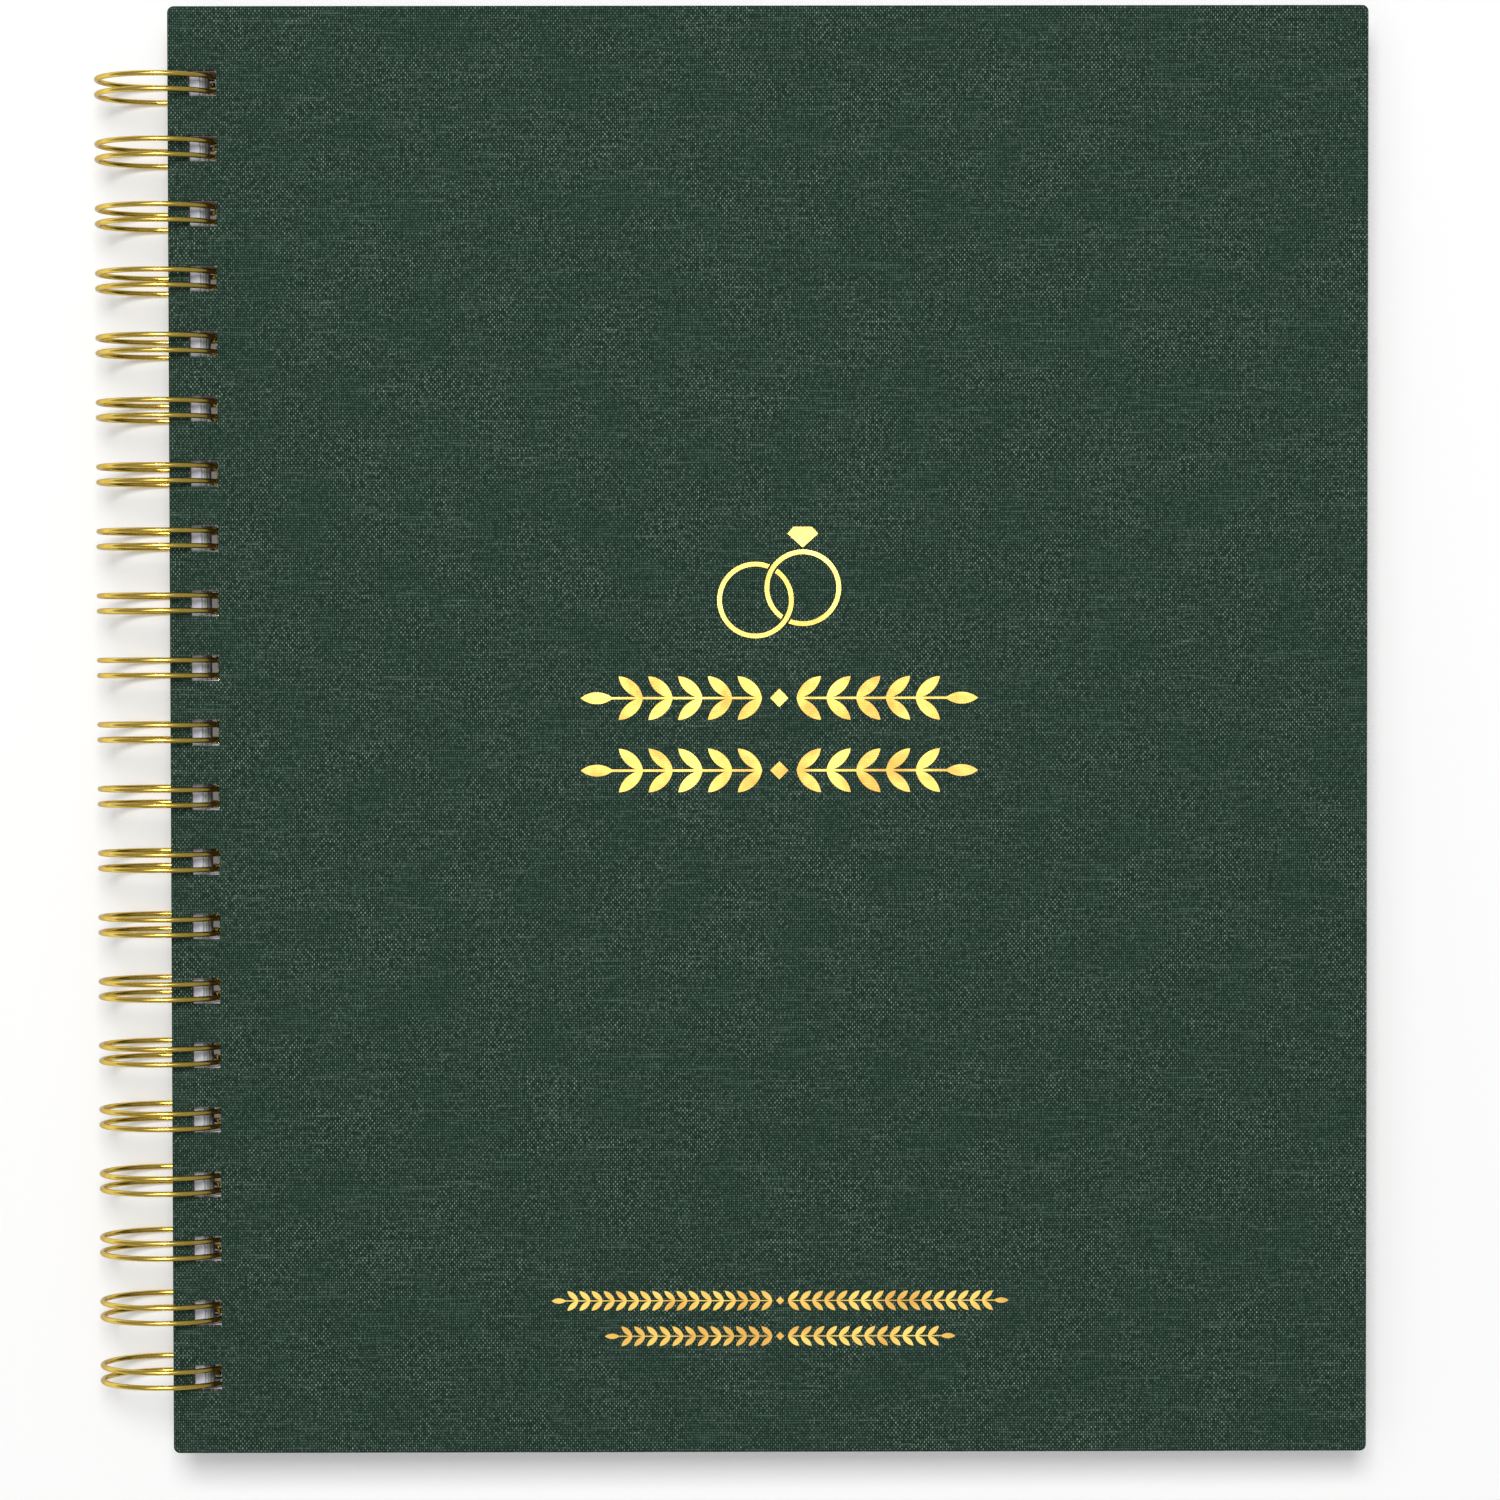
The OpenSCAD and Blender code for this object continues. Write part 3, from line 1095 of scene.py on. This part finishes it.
@dataclass
class Section:
    """A run of loose sheets, and the tabbed card in front of it."""

    index: int
    layout: Layout
    face: bpy.types.Material
    edge: bpy.types.Material
    # the sheet edge darkened with painted shade, for the edges inside the slots
    wall: bpy.types.Material
    card: bpy.types.Material | None
    film: bpy.types.Material
    stray: float = 0.16 * MM
    swing: float = 1.0 * MM
    air: float = 0.013 * MM

    @property
    def body(self) -> str:
        """The body that carries the section."""
        return "opening_pages" if self.index == 1 else f"section_{self.index - 1}"

    @property
    def area(self) -> Box:
        """A sheet's outline."""
        lay = self.layout
        left = lay.leaf_x + lay.spine_inset
        return Box(left, left + lay.page_w, -lay.page_h / 2, lay.page_h / 2)

    def build(self) -> None:
        """Makes the sheets, and the card where the section has one."""
        self._sheets()
        if self.card is not None:
            self._divider()

    def _sheets(self) -> None:
        """Makes each sheet, a little out of line with the others."""
        lay = self.layout
        rng = random.Random(100 + self.index)
        mesh = plate(self.area, lay.slots(lay.leaf_x))
        thicken(mesh, lay.sheet_t - self.air)
        first = everything(mesh)
        low = lay.pages_z(self.index) + self.air / 2
        for k in range(1, lay.sheets):
            copied = bmesh.ops.duplicate(mesh, geom=first)["geom"]
            verts = [g for g in copied if isinstance(g, bmesh.types.BMVert)]
            stray = rng.uniform(-self.stray, self.stray) + self._pull(low + k * lay.sheet_t)
            place = (stray, rng.uniform(-self.stray, self.stray), k * lay.sheet_t)
            bmesh.ops.translate(mesh, vec=place, verts=verts)
        lowest = [g for g in first if isinstance(g, bmesh.types.BMVert)]
        bmesh.ops.translate(mesh, vec=(self._pull(low), 0, 0), verts=lowest)
        bmesh.ops.translate(mesh, vec=(0, 0, low), verts=mesh.verts)
        left = self.area.left + self.swing
        right = lay.leaf_x + lay.slot_margin + lay.slot_w + self.swing
        top = lay.page_h / 2 - self.swing
        for face in mesh.faces:
            centre = face.calc_center_median()
            in_slot = left < centre.x < right and abs(centre.y) < top
            # edges inside the slots get the sheet edge darkened with painted shade
            face.material_index = 0 if abs(face.normal.z) > 0.5 else 2 if in_slot else 1
        made = piece(f"sheets_{self.index}", mesh, lay.laid(), [self.face, self.edge, self.wall])
        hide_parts(f"pages_{self.index}")
        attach(made, self.body)
        log.info("%s: %d faces", made.name, len(made.data.polygons))

    def _pull(self, height: float) -> float:
        """How far the curve of the rings draws a sheet towards the spine.

        Args:
            height: the sheet's height from the rings' axis.

        Returns:
            The shift along X.
        """
        return -self.swing * (height / self.layout.front_z) ** 2

    def _divider(self) -> None:
        """Makes the card with its tab, and dresses the film round the tab."""
        lay = self.layout
        number = self.index - 1
        area = self.area
        top = lay.page_h / 2 - lay.tab_end - (number - 1) * (lay.tab_h + lay.tab_gap)
        mesh = plate(area, lay.slots(lay.leaf_x))
        cut_lines(mesh, [], [top - lay.tab_h, top])
        stem = [
            e
            for e in loose(mesh)
            if all(
                abs(v.co.x - area.right) < 1e-7 and top - lay.tab_h - 1e-7 < v.co.y < top + 1e-7
                for v in e.verts
            )
        ]
        grown = bmesh.ops.extrude_edge_only(mesh, edges=stem)["geom"]
        tips = [g for g in grown if isinstance(g, bmesh.types.BMVert)]
        bmesh.ops.translate(mesh, vec=(lay.tab_w, 0, 0), verts=tips)
        ends = [v for v in tips if min(abs(v.co.y - top), abs(v.co.y - top + lay.tab_h)) < 1e-6]
        bmesh.ops.bevel(
            mesh, geom=ends, offset=lay.tab_r, offset_type="OFFSET",
            segments=8, profile=0.5, affect="VERTICES", material=-1,
        )
        bmesh.ops.recalc_face_normals(mesh, faces=mesh.faces)
        thicken(mesh, lay.divider_t - 2 * self.air)
        low = lay.pages_z(number) - lay.divider_t + self.air
        bmesh.ops.translate(mesh, vec=(0, 0, low), verts=mesh.verts)
        made = piece(f"divider_card_{number}", mesh, lay.laid(), [self.card])
        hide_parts(f"divider_{number}")
        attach(made, self.body)
        redress(f"tab_film_{number}", self.film)
        log.info("%s: %d faces", made.name, len(made.data.polygons))


# ---------------------------------------------------------------- wire


@dataclass
class TwinLoopWire:
    """One length of wire, bent into closed twin loops."""

    layout: Layout
    finish: bpy.types.Material
    sides: int = 12
    ring_steps: int = 72
    bend_steps: int = 6
    tip_steps: int = 14
    ends: list = field(default_factory=list)

    @property
    def root(self) -> float:
        """Where a loop leaves the ring for the bar beside it, as an angle round the rings."""
        lay = self.layout
        bar = lay.pocket_z + lay.pocket_t / 2
        reach = math.hypot(lay.ring_r, lay.bend_r)
        return 2 * math.pi + math.asin(bar / reach) - math.atan2(lay.bend_r, lay.ring_r)

    @property
    def tip(self) -> float:
        """Where the closed tips of the loops begin, as an angle round the rings."""
        lay = self.layout
        return self.root - 2 * math.pi + (lay.bend_r + lay.tip_gap + lay.twin_gap / 2) / lay.ring_r

    @staticmethod
    def _out(angle: float) -> Vector:
        """The direction away from the rings' axis at an angle."""
        return Vector((math.cos(angle), 0, math.sin(angle)))

    def build(self) -> None:
        """Sweeps one loop and the bar beside it, and repeats them along the spine."""
        lay = self.layout
        linked, single = self._sweep(True), self._sweep(False)
        mesh = bmesh.new()
        for k in range(lay.loops):
            before = set(mesh.verts)
            mesh.from_mesh(linked if k < lay.loops - 1 else single)
            added = [v for v in mesh.verts if v not in before]
            bmesh.ops.translate(mesh, vec=(0, lay.loop_y(k), 0), verts=added)
        bmesh.ops.remove_doubles(mesh, verts=mesh.verts, dist=1e-6)
        bmesh.ops.holes_fill(mesh, edges=loose(mesh), sides=self.sides)
        bmesh.ops.recalc_face_normals(mesh, faces=mesh.faces)
        made = piece("twin_loop_wire", mesh, lay.laid(), [self.finish], smooth=True)
        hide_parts("wire_binding")
        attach(made, "wire")
        log.info("%s: %d faces", made.name, len(made.data.polygons))
        bpy.data.meshes.remove(linked)
        bpy.data.meshes.remove(single)

    def _sweep(self, bar: bool) -> bpy.types.Mesh:
        """Sweeps one twin loop about the middle of the spine.

        Args:
            bar: whether the bar to the next loop follows it.

        Returns:
            The open tube.
        """
        lay = self.layout
        mesh = bmesh.new()
        out = self._out(self.root)
        start = out * lay.ring_r + Vector((0, -lay.twin_gap / 2, 0))
        turn = Matrix((out, Vector((0, 1, 0)), out.cross(Vector((0, 1, 0))))).transposed().to_4x4()
        place = Matrix.Translation(start) @ turn
        bmesh.ops.create_circle(mesh, segments=self.sides, radius=lay.wire_d / 2, matrix=place)
        self.ends = everything(mesh)
        self._loop(mesh, 0.0)
        if bar:
            self._bridge(mesh, 0.0)
        data = bpy.data.meshes.new("swept")
        mesh.to_mesh(data)
        mesh.free()
        return data

    def _spin(
        self, mesh: bmesh.types.BMesh, centre: Vector, axis: Vector, angle: float, steps: int
    ) -> None:
        """Carries the wire's end round an arc.

        Args:
            mesh: the wire.
            centre: the arc's centre.
            axis: what it turns about.
            angle: how far.
            steps: in how many steps.
        """
        swept = bmesh.ops.spin(
            mesh, geom=self.ends, cent=centre, axis=axis, dvec=(0, 0, 0), angle=angle, steps=steps,
            use_merge=False, use_normal_flip=False, use_duplicate=False,
        )
        self.ends = swept["geom_last"]

    def _loop(self, mesh: bmesh.types.BMesh, y: float) -> None:
        """Makes one twin loop: round the ring, through its tip and back.

        Args:
            mesh: the wire.
            y: the loop's middle.
        """
        lay = self.layout
        half = Vector((0, lay.twin_gap / 2, 0))
        middle = Vector((0, y, 0))
        sweep = self.root - self.tip
        self._spin(mesh, middle - half, Vector((0, 1, 0)), sweep, self.ring_steps)
        out = self._out(self.tip)
        self._spin(mesh, out * lay.ring_r + middle, out, math.pi, self.tip_steps)
        self._spin(mesh, middle + half, Vector((0, -1, 0)), sweep, self.ring_steps)

    def _bridge(self, mesh: bmesh.types.BMesh, y: float) -> None:
        """Makes the bends and the bar that lead to the next loop.

        Args:
            mesh: the wire.
            y: the middle of the loop that it leaves.
        """
        lay = self.layout
        out = self._out(self.root)
        root = out * lay.ring_r + Vector((0, y + lay.twin_gap / 2, 0))
        self._spin(mesh, root + Vector((0, lay.bend_r, 0)), -out, math.pi / 2, self.bend_steps)
        span = lay.pitch - lay.twin_gap - 2 * lay.bend_r
        edges = [g for g in self.ends if isinstance(g, bmesh.types.BMEdge)]
        self.ends = bmesh.ops.extrude_edge_only(mesh, edges=edges)["geom"]
        self.ends = [g for g in self.ends if not isinstance(g, bmesh.types.BMFace)]
        verts = [g for g in self.ends if isinstance(g, bmesh.types.BMVert)]
        bmesh.ops.translate(mesh, vec=(0, span, 0), verts=verts)
        kept = set(verts)
        self.ends = [
            g for g in self.ends if isinstance(g, bmesh.types.BMVert) or all(v in kept for v in g.verts)
        ]
        far = root + Vector((0, span + lay.bend_r, 0))
        self._spin(mesh, far, -out, math.pi / 2, self.bend_steps)


# ---------------------------------------------------------------- studio


class Lamp(Enum):
    """The lamps: where each hangs, the width of its face and its power in watts."""

    KEY = ((-0.05, 0.46, 1.65), 0.5, 15.0)
    TOP = ((-0.25, 0.05, 1.8), 1.4, 7.0)


@dataclass(frozen=True)
class Studio:
    """The floor, the lights and the camera."""

    floor_size: float = 8.0
    floor_colour: Colour = (0.9, 0.9, 0.9)
    floor_glow: float = 0.15
    lens: float = 117.8
    camera_at: Vector = Vector((0.0091, 0.0121, 0.9837))
    pitch: float = math.radians(1.564)
    yaw: float = math.radians(-0.392)
    roll: float = math.radians(0.091)
    shift: Span = (0.0048, 0.036)
    room_light: float = 0.3

    def build(self) -> None:
        """Sets up the studio."""
        self._floor()
        for lamp in Lamp:
            self._lamp(lamp)
        self._world()
        self._camera()
        bpy.context.scene.view_settings.view_transform = "Standard"

    def _floor(self) -> None:
        """Makes the pale floor, which is white to the camera where no shadow falls."""
        mesh = bmesh.new()
        bmesh.ops.create_grid(mesh, x_segments=1, y_segments=1, size=self.floor_size / 2)
        s = Shader("pale_floor")
        grain = s.noise(s.place(), 3 * MM, 2.0)
        s.bump(grain, 0.02 * MM, 0.2)
        path = s.add("ShaderNodeLightPath").outputs
        seen = s.math("MAXIMUM", path["Is Camera Ray"], path["Is Glossy Ray"])
        seen = s.math("MAXIMUM", seen, path["Is Transmission Ray"])
        glow = s.math("MULTIPLY", seen, self.floor_glow)
        material = s.dress(
            Base_Color=self.floor_colour, Roughness=0.9, Specular_IOR_Level=0.2,
            Emission_Color=(1.0, 1.0, 1.0), Emission_Strength=glow,
        )
        piece("floor", mesh, Matrix.Identity(4), [material])

    @staticmethod
    def _lamp(choice: Lamp) -> None:
        """Hangs a soft square lamp that looks at the planner.

        Args:
            choice: the lamp.
        """
        at, size, power = Vector(choice.value[0]), *choice.value[1:]
        name = f"{choice.name.lower()}_light"
        data = bpy.data.lights.new(name, "AREA")
        data.size = size
        data.energy = power
        hung = bpy.data.objects.new(name, data)
        hung.matrix_world = Matrix.Translation(at) @ at.to_track_quat("Z", "Y").to_matrix().to_4x4()
        bpy.context.scene.collection.objects.link(hung)

    def _world(self) -> None:
        """Sets the soft light of the room."""
        world = bpy.data.worlds.new("room")
        bpy.context.scene.world = world
        world.use_nodes = True
        background = world.node_tree.nodes["Background"]
        background.inputs["Color"].default_value = (1, 1, 1, 1)
        background.inputs["Strength"].default_value = self.room_light

    def _camera(self) -> None:
        """Hangs the camera straight above the planner, a little out of square."""
        data = bpy.data.cameras.new("camera")
        data.lens = self.lens
        data.sensor_width = 36
        data.shift_x, data.shift_y = self.shift
        camera = bpy.data.objects.new("camera", data)
        turn = Matrix.Rotation(-self.yaw, 4, "Y") @ Matrix.Rotation(-self.pitch, 4, "X")
        turn = turn @ Matrix.Rotation(-self.roll, 4, "Z")
        camera.matrix_world = Matrix.Translation(self.camera_at) @ turn
        bpy.context.scene.collection.objects.link(camera)
        bpy.context.scene.camera = camera


# ---------------------------------------------------------------- the planner


def main() -> None:
    """Builds the planner and its studio."""
    logging.basicConfig(level=logging.INFO, format="%(name)s: %(message)s")
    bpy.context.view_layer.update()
    layout = Layout()
    cloth = BookCloth().build()
    board = Greyboard().build()
    endpaper = Stock.ENDPAPER.build()
    ends = Stock.THREAD_ENDS.build()
    Cover("front", layout.front_x, layout.top_z, True, layout, cloth, board, endpaper, ends).build()
    Cover("back", layout.back_x, layout.back_z, False, layout, cloth, board, endpaper, ends).build()
    ruled = RuledPaper().build()
    edge = Stock.SHEET_EDGE.build()
    # the sheet edge darkened with painted shade, for the edges inside the slots
    wall = Stock.SLOT_WALL.build()
    film = TabFilm().build()
    cards = [tint.build() for tint in Tint]
    for index in range(1, layout.sections + 1):
        card = cards[index - 2] if index > 1 else None
        Section(index, layout, ruled, edge, wall, card, film).build()
    pocket = Stock.POCKET_CARD.build()
    redress("pocket_gusset", pocket)
    redress("pocket_panel", pocket)
    TwinLoopWire(layout, GoldWire().build()).build()
    foil = Foil().build()
    for node in ("foil_emblem", "foil_garlands", "foil_caption"):
        redress(node, foil)
    Studio().build()


if __name__ == "__main__":
    main()
